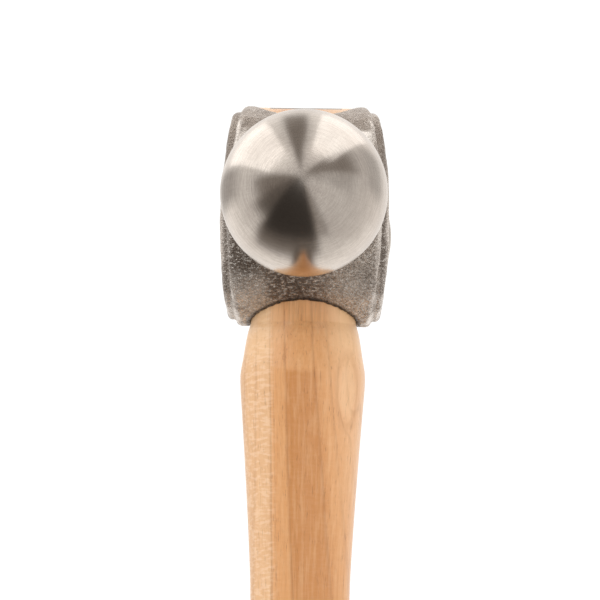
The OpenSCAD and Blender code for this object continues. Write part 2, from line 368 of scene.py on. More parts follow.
def make_head():
    smooth, faces, exact = head_surface()
    x, y, z = smooth.T
    start, end = FORGED_Y
    forged = smoothstep(start - 0.4, start + 0.4, y) * smoothstep(end + 0.6, end - 0.6, y)
    ground = ground_spots(smooth)
    from_eye = eye_wall(x, y, EYE_LOW_R)
    rough = forged * (1 - 0.85 * ground) * np.where(from_eye < 0.2, 0.3, 1)
    dents = sum(depth * noise(smooth, size, seed) for seed, (size, depth) in enumerate(DENTS, 1))
    limit = np.array([POLL_R, 1e3, BLOCK_HALF[2] + 0.1])
    skin = np.clip(smooth + exact * (rough * (dents - SKIN_DROP))[:, None], -limit, limit)
    normals = mix(exact, vertex_normals(skin, faces), np.clip(rough * 4, 0, 1)[:, None])
    obj = new_mesh("head_forging", skin + np.array([0, 0, HEAD_Z]), faces)
    edge, scale = skin_marks(smooth, skin, ground)
    attribute(obj, "ground", ground)
    # The edge attribute is partly wear and partly painted highlight, with painted light from below on the
    # lugs
    attribute(obj, "edge", edge * forged)
    # The scale attribute is painted shade: low behind the ball, on the top and beside the pads
    attribute(obj, "scale", scale)
    # Painted shade: darker round the eye's lower rim, where the head meets the handle
    attribute(obj, "eye_rim_shade", smoothstep(1.3, 0.5, from_eye) * smoothstep(-15, -16.5, z))
    turned = (y < start) | (y > end)
    face_turned = turned[faces].sum(1) >= 2
    obj.data.polygons.foreach_set("material_index", face_turned.astype(np.int32))
    obj.data.normals_split_custom_set_from_vertices(normals.tolist())
    return obj


def stations():
    """Rows of height, half width and flat, from the butt up to the underside of the head."""
    (grip_r, grip_f), (waist_r, waist_f), (shoulder_r, shoulder_f) = GRIP, WAIST, SHOULDER
    rows = [(BUTT_ROUND, grip_r - 0.5, grip_f), (BUTT_Z, grip_r, grip_f)]
    for share, r, f in ((0.25, 0.13, 0.12), (0.5, 0.5, 0.5), (0.75, 0.86, 0.86)):
        rows.append((mix(BUTT_Z, WAIST_Z, share), mix(grip_r, waist_r, r), mix(grip_f, waist_f, f)))
    rows.append((WAIST_Z, waist_r, waist_f))
    rises = ((44, 0.12, 0.14), (33, 0.28, 0.32), (18, 0.59, 0.64), (6, 0.87, 0.9), (1.6, 0.98, 1))
    for drop, r, f in rises:
        rows.append((SHOULDER_Z - drop, mix(waist_r, shoulder_r, r), mix(waist_f, shoulder_f, f)))
    rows += [
        (SHOULDER_Z + 1.8, shoulder_r, shoulder_f),
        (SHOULDER_Z + 5, shoulder_r - 0.5, shoulder_f - 0.2),
        (LUG_Z - 2.1, EYE_LOW_R + 0.55, EYE_FLAT + 0.35),
        (LUG_Z - 0.4, EYE_LOW_R + 0.05, EYE_FLAT),
    ]
    return np.array(rows)


def section(rows, z):
    """Half width and flat of the handle at heights z, on a smooth curve through the stations."""
    slopes = np.zeros((len(rows), 2))
    slopes[1:-1] = (rows[2:, 1:] - rows[:-2, 1:]) / (rows[2:, :1] - rows[:-2, :1])
    slopes[-1] = (rows[-1, 1:] - rows[-2, 1:]) / (rows[-1, 0] - rows[-2, 0])
    i = np.clip(np.searchsorted(rows[:, 0], z, side="right") - 1, 0, len(rows) - 2)
    h = rows[i + 1, 0] - rows[i, 0]
    s = ((z - rows[i, 0]) / h)[:, None]
    h = h[:, None]
    return (
        (2 * s**3 - 3 * s**2 + 1) * rows[i, 1:] + (s**3 - 2 * s**2 + s) * h * slopes[i]
        + (3 * s**2 - 2 * s**3) * rows[i + 1, 1:] + (s**3 - s**2) * h * slopes[i + 1]
    )


# Steps in each ring's two round ends and two flat sides, and rings up the handle
ARC, FLAT = 44, 6
BUTT_RINGS, BODY_RINGS, TENON_RINGS = 10, 300, 11


def ring(r, flat, z):
    """One level outline of the handle: two half circles joined by flats."""
    a = np.linspace(0, math.pi, ARC + 1)
    back = np.stack([r * np.cos(a), r * np.sin(a) + flat], -1)
    front = -back
    side = np.linspace(flat, -flat, FLAT + 1)[1:-1]
    left = np.stack([np.full(FLAT - 1, -r), side], -1)
    right = -left
    loop = np.concatenate([back, left, front, right])
    return np.column_stack([loop, np.full(len(loop), z)])


def handle_rings():
    """Half width, flat and height of each ring, from the butt to above the head."""
    rows = stations()
    rings = []
    for a in np.linspace(0, math.pi / 2, BUTT_RINGS, endpoint=False):
        inset = BUTT_ROUND * (1 - math.sin(a))
        rings.append((rows[0, 1] - inset, rows[0, 2], BUTT_ROUND * (1 - math.cos(a))))
    heights = np.linspace(rows[0, 0], rows[-1, 0], BODY_RINGS)
    rings += [(r, f, z) for z, (r, f) in zip(heights, section(rows, heights))]
    tenon = [(EYE_LOW_R - FIT, LUG_Z), (EYE_R - FIT, HEAD_Z), (EYE_TOP_R - FIT, TOP_Z + 1)]
    for (r0, z0), (r1, z1) in zip(tenon[:-1], tenon[1:]):
        for t in np.linspace(0, 1, TENON_RINGS, endpoint=False):
            rings.append((mix(r0, r1, t), EYE_FLAT, mix(z0, z1, t)))
    return rings + [(tenon[-1][0], EYE_FLAT, tenon[-1][1])]


def make_handle():
    loops = [ring(*r) for r in handle_rings()]
    n = len(loops[0])
    last = (len(loops) - 1) * n
    faces = [tuple(range(n - 1, -1, -1)), tuple(range(last, last + n))]
    for i in range(0, last, n):
        faces += [(i + j, i + (j + 1) % n, i + n + (j + 1) % n, i + n + j) for j in range(n)]
    return new_mesh("hickory_handle", np.concatenate(loops), faces)


# Wedges, in mm: thickness at the top, thickness at the tip, depth
WOOD_WEDGE = (3.4, 0.8, 30.0)
STEEL_WEDGE = (2.6, 0.7, 19.0)
WOOD_END_ROOM = 0.15
BARBS, BARB = 4, 0.22
STEEL_WIDTH = 15.0
STEEL_AT = 6.6
STEEL_BEVEL = 0.12

# How far the cutting shapes reach above the head, and right through the handle
ABOVE, THROUGH = 4.0, 60.0


def wedge_profile(thick, tip, depth, barbs=0, barb=0.0, rise=0.0):
    """A taper pointing down, with barbs that step in as they go up; its top stands up by the rise."""
    half = lambda d: mix(thick, tip, d / depth) / 2
    right = [(half(0), rise)]
    for i in range(1, barbs + 1):
        d = depth * i / (barbs + 1)
        right += [(half(d) - barb, -d), (half(d), -d)]
    right.append((half(depth), -depth))
    return right + [(-a, b) for a, b in reversed(right)]


def slot_profile(thick, tip, depth):
    """The wedge's taper with room all round, open above."""
    low, top = tip / 2 + FIT, thick / 2 + FIT
    return [(-low, -depth - FIT), (low, -depth - FIT), (top, 0), (top, 2), (-top, 2), (-top, 0)]


def above_crown(drop):
    """Side view of everything over the crowned top, lowered by the drop."""
    y = np.linspace(-BLOCK_HALF[1] + 0.5, BLOCK_HALF[1] - 0.5, 61)
    z = np.sqrt((CROWN_R - drop) ** 2 - y * y) - CROWN_DROP + HEAD_Z
    return [(y[-1], TOP_Z + ABOVE), (y[0], TOP_Z + ABOVE)] + list(zip(y, z))


def prism(name, profile, width, place, along):
    """The profile drawn out to a width along X or Y; its own axes are the other of these and Z."""
    bm = bmesh.new()
    rows = []
    for side in (-width / 2, width / 2):
        spots = [(side, a, b) if along == "X" else (a, side, b) for a, b in profile]
        rows.append([bm.verts.new((Vector(spot) + Vector(place)) * MM) for spot in spots])
    n = len(profile)
    bm.faces.new(rows[0])
    bm.faces.new(rows[1][::-1])
    for i in range(n):
        bm.faces.new((rows[0][i], rows[1][i], rows[1][(i + 1) % n], rows[0][(i + 1) % n]))
    bmesh.ops.recalc_face_normals(bm, faces=bm.faces)
    mesh = bpy.data.meshes.new(name)
    bm.to_mesh(mesh)
    bm.free()
    return link(bpy.data.objects.new(name, mesh))


def apply_modifiers(obj):
    bpy.context.view_layer.update()
    done = bpy.data.meshes.new_from_object(obj.evaluated_get(bpy.context.evaluated_depsgraph_get()))
    obj.modifiers.clear()
    obj.data = done


def cut(obj, cutters):
    """Take the cutters away from the object, and the empty material slots that this leaves."""
    for cutter in cutters:
        m = obj.modifiers.new("cut", "BOOLEAN")
        m.operation, m.solver, m.object = "DIFFERENCE", "EXACT", cutter
    apply_modifiers(obj)
    obj.data.materials.clear()


def make_steel_wedge(name, y, top, over_crown):
    """A barbed wedge whose top follows the crown of the head."""
    wedge = prism(name, wedge_profile(*STEEL_WEDGE, BARBS, BARB, 1.0), STEEL_WIDTH, (0, y, top), "X")
    cut(wedge, [over_crown])
    bevel = wedge.modifiers.new("bevel", "BEVEL")
    bevel.width, bevel.segments = STEEL_BEVEL * MM, 2
    apply_modifiers(wedge)
    return wedge


def make_wedges(handle):
    """The three wedges, and the slots for them cut into the handle."""
    crown_at = math.sqrt((CROWN_R - TENON_DROP) ** 2 - (STEEL_AT + STEEL_WEDGE[0] / 2) ** 2)
    steel_z = HEAD_Z - CROWN_DROP + crown_at
    slots = [
        prism("slot", slot_profile(*STEEL_WEDGE), STEEL_WIDTH + 2 * FIT, (0, y, steel_z), "X")
        for y in (-STEEL_AT, STEEL_AT)
    ]
    kerf = prism("kerf", slot_profile(*WOOD_WEDGE), THROUGH, (0, 0, TOP_Z), "Y")
    tenon_top = prism("top", above_crown(TENON_DROP), THROUGH, (0, 0, 0), "X")
    wood_top = prism("top", above_crown(TENON_DROP + FIT), THROUGH, (0, 0, 0), "X")
    cut(handle, [tenon_top, kerf] + slots)
    wood_length = 2 * (EYE_R + EYE_FLAT - WOOD_END_ROOM)
    wood = prism("kerf_wedge", wedge_profile(*WOOD_WEDGE), wood_length, (0, 0, TOP_Z), "Y")
    cut(wood, [wood_top] + slots)
    steel = [
        make_steel_wedge(name, y, steel_z, tenon_top)
        for name, y in (("cross_wedge_front", -STEEL_AT), ("cross_wedge_back", STEEL_AT))
    ]
    for cutter in slots + [kerf, tenon_top, wood_top]:
        bpy.data.objects.remove(cutter)
    return wood, steel


# Materials
def plug(tree, socket, value):
    """Wire a node's output to the socket, or set the socket to a plain value."""
    if isinstance(value, bpy.types.NodeSocket):
        tree.links.new(value, socket)
    else:
        socket.default_value = value


def node(tree, kind, ins=None, **props):
    n = tree.nodes.new("ShaderNode" + kind)
    for name, value in props.items():
        setattr(n, name, value)
    for name, value in (ins or {}).items():
        plug(tree, n.inputs[name], value)
    return n


def calc(tree, op, a, b=0.0):
    return node(tree, "Math", {0: a, 1: b}, operation=op).outputs[0]


def add(tree, a, b):
    return calc(tree, "ADD", a, b)


def minus(tree, a, b):
    return calc(tree, "SUBTRACT", a, b)


def times(tree, first, *others):
    for other in others:
        first = calc(tree, "MULTIPLY", first, other)
    return first


def step(tree, value, low, high, out_low=0.0, out_high=1.0):
    """A smooth step of the value; low may be the larger one."""
    ins = {"Value": value, "From Min": low, "From Max": high, "To Min": out_low, "To Max": out_high}
    return node(tree, "MapRange", ins, interpolation_type="SMOOTHSTEP").outputs["Result"]


def split(tree, vector):
    return tuple(node(tree, "SeparateXYZ", {0: vector}).outputs)


def combine(tree, x, y, z):
    return node(tree, "CombineXYZ", {0: x, 1: y, 2: z}).outputs[0]


def stretched(tree, vector, factors):
    return node(tree, "VectorMath", {0: vector, 1: factors}, operation="MULTIPLY").outputs[0]


def noise_node(tree, vector, scale, detail=2.0, roughness=0.5):
    ins = {"Vector": vector, "Scale": scale, "Detail": detail, "Roughness": roughness}
    return node(tree, "TexNoise", ins).outputs["Fac"]


def blend(tree, factor, a, b):
    return node(tree, "Mix", {0: factor, 6: a, 7: b}, data_type="RGBA").outputs[2]


def ramp(tree, value, stops):
    """Colours by value; stops are pairs of place and colour."""
    n = node(tree, "ValToRGB", {0: value})
    elements = n.color_ramp.elements
    while len(elements) < len(stops):
        elements.new(0.5)
    for element, (at, colour) in zip(elements, stops):
        element.position = at
        element.color = colour
    return n.outputs[0]


def bump(tree, height, strength, distance_mm):
    ins = {"Height": height, "Strength": strength, "Distance": distance_mm * MM}
    return node(tree, "Bump", ins).outputs[0]


def material(name):
    """A new material, its node tree and shader, and the surface's place in mm."""
    mat = bpy.data.materials.new(name)
    mat.use_nodes = True
    tree = mat.node_tree
    tree.nodes.clear()
    shader = node(tree, "BsdfPrincipled")
    node(tree, "OutputMaterial", {"Surface": shader.outputs[0]})
    coords = node(tree, "TexCoord").outputs["Object"]
    return mat, tree, shader, stretched(tree, coords, (1 / MM,) * 3)


def wire(tree, shader, **ins):
    for name, value in ins.items():
        plug(tree, shader.inputs[name.replace("_", " ")], value)


def rgb(r, g, b):
    """Linear colour of an sRGB triple out of 255."""
    return tuple(((v / 255 + 0.055) / 1.055) ** 2.4 for v in (r, g, b)) + (1.0,)


def grey(v):
    return (v, v, v, 1.0)


# Colours: polished steel, forged skin, hickory, raw wedge wood and rolled steel
STEEL_DULL, STEEL_CLEAR = rgb(208, 199, 190), rgb(222, 214, 205)
STEEL_RAY, STEEL_GRAIN = rgb(182, 174, 166), rgb(168, 159, 151)
# On the forged skin, the dark brown after the two skin tones is painted shade, the near-white is painted
# glints, the light grey for edges is partly wear and partly painted highlight, and the darkest is painted
# shade round the eye.
SKIN_DULL, SKIN_PALE, SCALE = rgb(188, 176, 165), rgb(212, 200, 188), rgb(92, 77, 66)
PIT, PRICK, PAINTED_GLINT = rgb(92, 78, 67), rgb(78, 66, 57), rgb(252, 246, 238)
EDGE_WEAR_AND_LIGHT, GROUND, EYE_RIM_SHADE = rgb(240, 232, 224), rgb(226, 219, 211), rgb(52, 44, 39)
# In the hickory, the sapwood colours are also painted side light and the heartwood colour is partly painted
# shade; the row after the pores holds a painted highlight in ripples, painted light for the flanks and
# painted shade under the head.
SAP_SIDE_LIGHT, SAP_WARM_SIDE_LIGHT = rgb(227, 180, 133), rgb(232, 181, 132)
MID, HEART_SHADE, LINE = rgb(223, 163, 107), rgb(205, 141, 83), rgb(176, 116, 68)
FIBRE, SILK, PORE = rgb(190, 128, 78), rgb(250, 212, 166), rgb(146, 92, 54)
RIPPLE_SHEEN, FLANK_LIGHT, HEAD_SHADOW = rgb(255, 228, 198), rgb(250, 208, 158), rgb(140, 100, 68)
KNOT_CORE, KNOT_RIM = rgb(246, 206, 162), rgb(204, 146, 98)
RAW_DARK, RAW_PALE = rgb(150, 105, 68), rgb(196, 150, 106)
ROLLED_DARK, ROLLED_PALE = rgb(120, 114, 108), rgb(176, 170, 163)


def turned_steel():
    """Turned and brushed round the head's axis: fine rings, faint rays and a grain along the rings."""
    mat, tree, shader, mm = material("turned_steel")
    x, y, z = split(tree, mm)
    up = minus(tree, z, HEAD_Z)
    radius = calc(tree, "SQRT", add(tree, times(tree, x, x), times(tree, up, up)))
    angle = calc(tree, "ARCTAN2", up, x)
    cosine, sine = calc(tree, "COSINE", angle), calc(tree, "SINE", angle)
    rings = stretched(tree, combine(tree, radius, y, 0.0), (6.0, 6.0, 1.0))
    rings = noise_node(tree, rings, 1.0, 3.0, 0.7)
    rays = noise_node(tree, combine(tree, cosine, sine, times(tree, y, 0.02)), 24.0, 4.0, 0.7)
    haze = noise_node(tree, mm, 0.12, 2.0)
    around = combine(tree, times(tree, cosine, 4.5), times(tree, sine, 4.5), times(tree, y, 3.6))
    ins = {"Vector": around, "W": times(tree, radius, 3.6), "Scale": 1.0, "Detail": 3.0, "Roughness": 0.7}
    grain = node(tree, "TexNoise", ins, noise_dimensions="4D").outputs["Fac"]
    tone = blend(tree, step(tree, haze, 0.3, 0.7), STEEL_DULL, STEEL_CLEAR)
    tone = blend(tree, step(tree, rays, 0.42, 0.62, 0.0, 0.16), tone, STEEL_RAY)
    tone = blend(tree, step(tree, grain, 0.35, 0.65, 0.0, 0.32), tone, STEEL_GRAIN)
    rough = add(tree, times(tree, grain, 0.14), 0.14)
    tangent = node(tree, "Tangent", direction_type="RADIAL", axis="Y").outputs[0]
    normal = bump(tree, add(tree, rings, times(tree, grain, 1.5)), 0.13, 0.02)
    wire(tree, shader, Base_Color=tone, Metallic=1.0, Roughness=rough, Anisotropic=0.68,
         Anisotropic_Rotation=0.25, Tangent=tangent, Normal=normal)
    return mat


def forged_steel():
    """Rough grey skin with dark pits and painted bright glints, fewer of them towards the top, darkened by
    painted shade and brightened by painted highlight from the head's masks.
    """
    mat, tree, shader, mm = material("forged_steel")
    ground, edge, eye_rim_shade, scale = (
        node(tree, "Attribute", attribute_name=name).outputs["Fac"]
        for name in ("ground", "edge", "eye_rim_shade", "scale")
    )
    turn = (0.0, math.radians(35), 0.0)
    slant = node(tree, "Mapping", {0: mm, "Rotation": turn, "Scale": (0.8, 0.8, 2.0)}).outputs[0]
    cells = {"Vector": mm, "Scale": 1.5, "Smoothness": 0.5, "Detail": 1.0}
    pebble = node(tree, "TexVoronoi", cells, feature="SMOOTH_F1").outputs["Distance"]
    grit = noise_node(tree, slant, 1.5, 5.0, 0.72)
    fine = noise_node(tree, mm, 3.4, 3.0, 0.7)
    specks = noise_node(tree, slant, 1.3, 4.0, 0.75)
    patches = noise_node(tree, mm, 0.16, 3.0)
    z = split(tree, mm)[2]
    # More pits, pricks and painted glints low on the head
    lower = step(tree, z, HEAD_Z + 8, HEAD_Z - 4, 0.35, 1.0)
    pits = times(tree, step(tree, grit, 0.54, 0.36, 0.0, 0.7), lower)
    pricks = times(tree, step(tree, fine, 0.44, 0.3, 0.0, 0.75), lower)
    # Painted highlight: near-white glints put into the colour
    painted_glint = times(tree, step(tree, specks, 0.51, 0.6), lower, 0.72)
    tone = blend(tree, step(tree, patches, 0.35, 0.65), SKIN_DULL, SKIN_PALE)
    # The scale mask darkens the skin as painted shade
    tone = blend(tree, times(tree, scale, 0.78), tone, SCALE)
    tone = blend(tree, pits, tone, PIT)
    # Painted highlight: the glints brighten the colour
    tone = blend(tree, painted_glint, tone, PAINTED_GLINT)
    tone = blend(tree, pricks, tone, PRICK)
    # Edge mask: partly wear, partly painted highlight and painted light from below
    tone = blend(tree, times(tree, edge, 0.7), tone, EDGE_WEAR_AND_LIGHT)
    tone = blend(tree, ground, tone, GROUND)
    # Painted shade round the eye's lower rim
    tone = blend(tree, times(tree, eye_rim_shade, 0.85), tone, EYE_RIM_SHADE)
    worn = calc(tree, "MAXIMUM", ground, times(tree, edge, 0.6))
    rough = step(tree, grit, 0.3, 0.7, 0.2, 0.32)
    rough = node(tree, "Mix", {0: worn, 2: rough, 3: 0.27}).outputs[0]
    height = add(tree, add(tree, times(tree, pebble, -0.5), grit), times(tree, fine, 0.35))
    height = times(tree, height, minus(tree, 1.0, times(tree, worn, 0.85)))
    height = times(tree, height, step(tree, z, HEAD_Z + 8, HEAD_Z - 4, 0.6, 1.2))
    wire(tree, shader, Base_Color=tone, Metallic=0.9, Roughness=rough, Normal=bump(tree, height, 1.0, 0.5))
    return mat


# Growth lines: place across the handle in mm, how dark, how wide
GROWTH = (
    (-12.0, 0.55, 0.5), (-9.7, 0.5, 0.4), (-6.7, 0.8, 0.35), (-6.0, 0.4, 0.25), (-3.5, 0.9, 0.5),
    (-2.7, 0.25, 0.3), (2.7, 0.7, 0.6), (5.9, 0.35, 0.7), (8.8, 0.4, 0.6), (11.6, 0.4, 0.5),
)

# Wood across the handle, by place in mm: without the heartwood band, and with it. The pale sides are
# sapwood and also painted side light, and the pale band on the left is also the painted highlight of the
# left light; the heartwood band is partly painted shade.
LEFT_WOOD = ((-15.8, SAP_SIDE_LIGHT), (-7.0, SAP_SIDE_LIGHT), (-6.1, MID), (-3.6, MID))
RIGHT_WOOD = ((9.5, SAP_WARM_SIDE_LIGHT), (15, SAP_SIDE_LIGHT))
PLAIN = LEFT_WOOD + ((2.7, MID), (4.5, MID)) + RIGHT_WOOD
HEART_SHADE_WOOD = LEFT_WOOD + ((-3.3, HEART_SHADE), (2.1, HEART_SHADE), (4.4, MID)) + RIGHT_WOOD
ACROSS = 32.0

# A small knot on the front: its place and half size in mm
KNOT, KNOT_HALF = (9.3, 346.0), (1.9, 6.5)


def share_across(v):
    """A place across the handle in mm as a share of ACROSS, which is a little wider than the handle."""
    return v / ACROSS + 0.5


def knot_shape(tree, x, z):
    """Square of the distance from the knot's middle, 1 at its rim."""
    across = calc(tree, "DIVIDE", minus(tree, x, KNOT[0]), KNOT_HALF[0])
    along = calc(tree, "DIVIDE", minus(tree, z, KNOT[1]), KNOT_HALF[1])
    return add(tree, times(tree, across, across), times(tree, along, along))


def growth_place(tree, mm, knot, front):
    """Place across the growth lines in mm: they lean, drift, waver and swing round the knot."""
    x, _, z = split(tree, mm)
    drift = noise_node(tree, stretched(tree, mm, (0.04, 0.04, 0.009)), 1.0, 2.0)
    waver = noise_node(tree, stretched(tree, mm, (0.4, 0.4, 0.05)), 1.0, 2.0)
    lean = calc(tree, "SINE", times(tree, minus(tree, SHOULDER_Z, z), 1 / 60))
    lean = times(tree, lean, add(tree, times(tree, x, 0.36), 3.4))
    u = minus(tree, x, lean)
    u = add(tree, u, times(tree, minus(tree, drift, 0.5), 0.9))
    u = add(tree, u, times(tree, minus(tree, waver, 0.5), 0.45))
    return add(tree, u, times(tree, step(tree, knot, 2.6, 0.0), front, 2.4))


def growth_tone(tree, mm, u):
    """Sapwood whose pale sides are also painted side light, the darker band in front below the shoulder,
    partly heartwood and partly painted shade, and the dark growth lines.
    """
    _, y, z = split(tree, mm)
    across = add(tree, calc(tree, "DIVIDE", u, ACROSS), 0.5)
    plain, heart_shade_wood = (
        ramp(tree, across, [(share_across(v), colour) for v, colour in wood]) for wood in (PLAIN, HEART_SHADE_WOOD)
    )
    top = add(tree, SHOULDER_Z + 1.2, times(tree, noise_node(tree, mm, 0.7, 2.0), 2.4))
    # Painted shade, partly heartwood: the darker band only on the front, below the shoulder
    heart_shade_band = times(tree, step(tree, y, -2.0, -7.0), step(tree, minus(tree, top, z), 0.0, 1.6))
    tone = blend(tree, heart_shade_band, plain, heart_shade_wood)
    stops = []
    for at, dark, wide in GROWTH:
        stops += [(share_across(at - wide), grey(0)), (share_across(at), grey(dark)),
                  (share_across(at + wide * 0.35), grey(0))]
    lines = ramp(tree, across, sorted(stops))
    fade = noise_node(tree, stretched(tree, mm, (0.5, 0.5, 0.03)), 1.0, 2.0)
    marks = times(tree, lines, step(tree, fade, 0.3, 0.6, 0.35, 1.0), 0.8)
    return blend(tree, marks, tone, LINE)


def knot_tone(tree, tone, knot, front):
    """A pale knot with a darker rim."""
    rim = times(tree, step(tree, knot, 2.4, 1.3), step(tree, knot, 0.8, 1.2))
    tone = blend(tree, times(tree, step(tree, knot, 1.0, 0.3), front, 0.28), tone, KNOT_CORE)
    return blend(tree, times(tree, rim, front, 0.35), tone, KNOT_RIM)


def shoulder_tone(tree, mm, tone):
    """Painted shade in front just under the head, and painted light making the sides paler above the
    shoulder.
    """
    x, _, z = split(tree, mm)
    streak = noise_node(tree, stretched(tree, mm, (2.6, 2.6, 0.1)), 1.0, 2.0)
    off_middle = calc(tree, "ABSOLUTE", minus(tree, x, 0.5))
    # Painted shade under the head: greyer streaks in front, below the eye
    head_shadow = times(
        tree, step(tree, z, LUG_Z - 6, LUG_Z + 3), step(tree, streak, 0.35, 0.65, 0.3, 1.0),
        step(tree, z, LUG_Z + 16, LUG_Z + 10), step(tree, off_middle, 7.5, 2.5), 0.35)
    tone = blend(tree, head_shadow, tone, HEAD_SHADOW)
    # Painted light: paler sides above the shoulder
    side = step(tree, calc(tree, "ABSOLUTE", x), 3.5, 8.5, 0.0, 0.42)
    return blend(tree, times(tree, step(tree, z, SHOULDER_Z, SHOULDER_Z + 9), side), tone, FLANK_LIGHT)


def hickory():
    """Lacquered wood: growth lines, fibres, silky streaks, a painted highlight in ripples on the left,
    pores and a knot, with painted shade under the head and painted light on the sides above the shoulder.
    """
    mat, tree, shader, mm = material("lacquered_hickory")
    x, y, z = split(tree, mm)
    front = step(tree, y, -4.0, -8.0)
    knot = knot_shape(tree, x, z)
    u = growth_place(tree, mm, knot, front)
    tone = growth_tone(tree, mm, u)
    fibre = noise_node(tree, stretched(tree, mm, (5.0, 5.0, 0.08)), 1.0, 3.0, 0.65)
    tone = blend(tree, step(tree, fibre, 0.45, 0.8, 0.0, 0.35), tone, FIBRE)
    silk = noise_node(tree, stretched(tree, mm, (1.3, 1.3, 0.03)), 1.0, 3.0, 0.6)
    tone = blend(tree, step(tree, silk, 0.4, 0.75, 0.0, 0.22), tone, SILK)
    # Painted highlight: a sheen in fine ripples in the pale band on the left, where the side light falls
    ripple_sheen = noise_node(tree, stretched(tree, mm, (0.5, 0.5, 1.6)), 1.0, 2.0)
    sheen_band = step(tree, calc(tree, "ABSOLUTE", add(tree, u, 9.4)), 4.2, 1.8, 0.1, 1.0)
    ripple_sheen = times(tree, step(tree, ripple_sheen, 0.42, 0.66, 0.0, 0.3), sheen_band)
    tone = blend(tree, ripple_sheen, tone, RIPPLE_SHEEN)
    pores = noise_node(tree, stretched(tree, mm, (3.4, 3.4, 0.22)), 1.0, 3.0, 0.6)
    pores = times(tree, step(tree, pores, 0.58, 0.7), step(tree, silk, 0.6, 0.4, 0.25, 1.0))
    tone = blend(tree, times(tree, pores, 0.55), tone, PORE)
    tone = shoulder_tone(tree, mm, knot_tone(tree, tone, knot, front))
    height = minus(tree, times(tree, fibre, 0.4), times(tree, pores, 0.6))
    wire(tree, shader, Base_Color=tone, Roughness=step(tree, fibre, 0.3, 0.7, 0.36, 0.5),
         Coat_Weight=0.35, Coat_Roughness=0.16, Normal=bump(tree, height, 0.35, 0.12))
    return mat


def raw_wood():
    """End grain and fibres of the wood wedge."""
    mat, tree, shader, mm = material("raw_wedge_wood")
    fibre = noise_node(tree, stretched(tree, mm, (3.0, 0.7, 1.0)), 1.0, 4.0, 0.7)
    tone = blend(tree, step(tree, fibre, 0.3, 0.7), RAW_DARK, RAW_PALE)
    wire(tree, shader, Base_Color=tone, Roughness=step(tree, fibre, 0.3, 0.7, 0.6, 0.8),
         Normal=bump(tree, fibre, 0.5, 0.2))
    return mat


def rolled_steel():
    """Dull grey steel of the cross wedges, with faint scratches."""
    mat, tree, shader, mm = material("rolled_wedge_steel")
    grit = noise_node(tree, stretched(tree, mm, (0.6, 3.0, 2.0)), 1.0, 4.0, 0.6)
    tone = blend(tree, step(tree, grit, 0.3, 0.7), ROLLED_DARK, ROLLED_PALE)
    wire(tree, shader, Base_Color=tone, Metallic=1.0, Roughness=step(tree, grit, 0.3, 0.7, 0.3, 0.5),
         Normal=bump(tree, grit, 0.3, 0.1))
    return mat


def build_hammer():
    head = make_head()
    handle = make_handle()
    wood, (front, back) = make_wedges(handle)
    wedge_metal = rolled_steel()
    finishes = (
        (head, "head", "head_steel", (forged_steel(), turned_steel())),
        (handle, "handle", "hickory", (hickory(),)),
        (wood, "wood_wedge", "wedge_wood", (raw_wood(),)),
        (front, "steel_wedge_front", "wedge_steel", (wedge_metal,)),
        (back, "steel_wedge_back", "wedge_steel", (wedge_metal,)),
    )
    for piece, cad_node, slot, materials in finishes:
        for finish in materials:
            piece.data.materials.append(finish)
        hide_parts(cad_node)
        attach(piece, "root")
    handle.data.shade_smooth()
    handle.data.set_sharp_from_angle(angle=math.radians(50))


# Camera: a long lens in front of the ball and a little below the head, looking slightly up. Angles in
# degrees, distance in metres, lens and sensor in mm, the ball's place in shares of the frame's width.
CAMERA_AZIMUTH = 0.4
CAMERA_RISE = 5.5
CAMERA_ROLL = 0.75
CAMERA_DISTANCE = 0.770
SENSOR = 36.0
LENS = 228.3
BALL_IN_FRAME = (0.00667, 0.17867)


def make_camera():
    a, e, r = (math.radians(v) for v in (CAMERA_AZIMUTH, CAMERA_RISE, CAMERA_ROLL))
    look = Vector((-math.sin(a) * math.cos(e), math.cos(a) * math.cos(e), math.sin(e)))
    right = look.cross(Vector((0, 0, 1))).normalized()
    up = right.cross(look)
    right, up = right * math.cos(r) + up * math.sin(r), up * math.cos(r) - right * math.sin(r)
    ball = Vector((0, BALL_Y, HEAD_Z)) * MM
    side, rise = (v * SENSOR / LENS * CAMERA_DISTANCE for v in BALL_IN_FRAME)
    data = bpy.data.cameras.new("camera")
    data.sensor_width, data.lens = SENSOR, LENS
    data.clip_start, data.clip_end = 0.05, 50
    cam = link(bpy.data.objects.new("camera", data))
    place = ball - look * CAMERA_DISTANCE - right * side - up * rise
    cam.matrix_world = Matrix.Translation(place) @ Matrix((right, up, -look)).transposed().to_4x4()
    bpy.context.scene.camera = cam


# Two long soft boxes over the head, which the steel mirrors: degrees round its axis from +X, width
STRIPS = {"left_strip": (136, 0.85), "right_strip": (62, 0.74)}
STRIP_LENGTH, STRIP_DISTANCE, STRIP_SHIFT, STRIP_GLOW = 2.2, 1.2, 0.1, 0.71

# Fill lights, which it does not mirror: place, aim, size, brightness, spread in degrees
FILLS = {
    "left_fill": ((-1.7, -0.7, 0.7), (0, 0, 0.3), 1.2, 0.66, 100),
    "right_fill": ((1.7, -0.7, 0.7), (0, 0, 0.3), 1.2, 0.66, 100),
    "low_fill": ((0, -1.5, 0.1), (0, 0, 0.36), 0.7, 0.30, 50),
}


def area_light(name, width, length, glow):
    data = bpy.data.lights.new(name, "AREA")
    data.shape = "RECTANGLE"
    data.size, data.size_y = width, length
    data.energy = glow * math.pi * width * length
    return link(bpy.data.objects.new(name, data))


def strip_light(name, azimuth, width):
    """A soft box beside the head's axis, lying along it and facing it."""
    light = area_light(name, width, STRIP_LENGTH, STRIP_GLOW)
    a = math.radians(azimuth)
    out = Vector((math.cos(a), 0, math.sin(a)))
    along = Vector((0, 1, 0))
    turn = Matrix((along.cross(out), along, out)).transposed().to_4x4()
    place = Vector((0, STRIP_SHIFT, HEAD_Z * MM)) + out * STRIP_DISTANCE
    light.matrix_world = Matrix.Translation(place) @ turn


